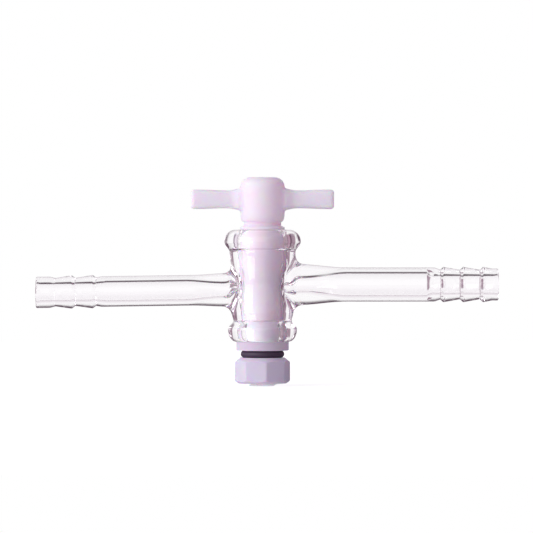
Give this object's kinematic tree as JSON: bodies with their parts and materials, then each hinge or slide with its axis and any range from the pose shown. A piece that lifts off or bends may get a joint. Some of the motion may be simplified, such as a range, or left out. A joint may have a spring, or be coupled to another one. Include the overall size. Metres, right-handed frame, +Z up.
{
  "type": "glass stopcock",
  "caption": "Straight-bore glass stopcock with a T-handled white plastic key, held by a washer, O-ring and eight-sided nut, and a serrated hose end on each side arm.",
  "frame": {"origin": "centre of the flat end of the key's stem, on the key's axis", "axes": "+Z up the key's axis towards the handle, +X along the longer, right-hand hose arm; the handle lies along X, which is open"},
  "size_m": [0.1301, 0.0216, 0.0587],
  "materials": {
    "glass": "clear, fire polished",
    "key_plastic": "waxy white fluoroplastic, turned and moulded",
    "washer_plastic": "waxy white fluoroplastic, turned",
    "rubber": "matt black rubber",
    "nut_plastic": "satin off-white moulded plastic"
  },
  "bodies": {
    "glass": {"glass_body": "glass"},
    "key": {"key": "key_plastic"},
    "seal": {"washer": "washer_plastic", "o_ring": "rubber"},
    "nut": {"nut": "nut_plastic"}
  },
  "joints": [
    {"name": "key_turn", "type": "hinge", "parent": "glass", "child": "key", "pos_m": [0, 0, 0.028], "axis": [0, 0, 1], "continuous": true},
    {"name": "seal_slide", "type": "slide", "parent": "key", "child": "seal", "axis": [0, 0, -1], "range_m": [0, 0.00625]},
    {"name": "nut_turn", "type": "hinge", "parent": "seal", "child": "nut", "pos_m": [0, 0, 0.004], "axis": [0, 0, -1], "range_deg": [0, 1802]}
  ],
  "couplings": [
    {"joint": "nut_turn", "follows": "seal_slide", "rad_per_m": 5026.5}
  ]
}
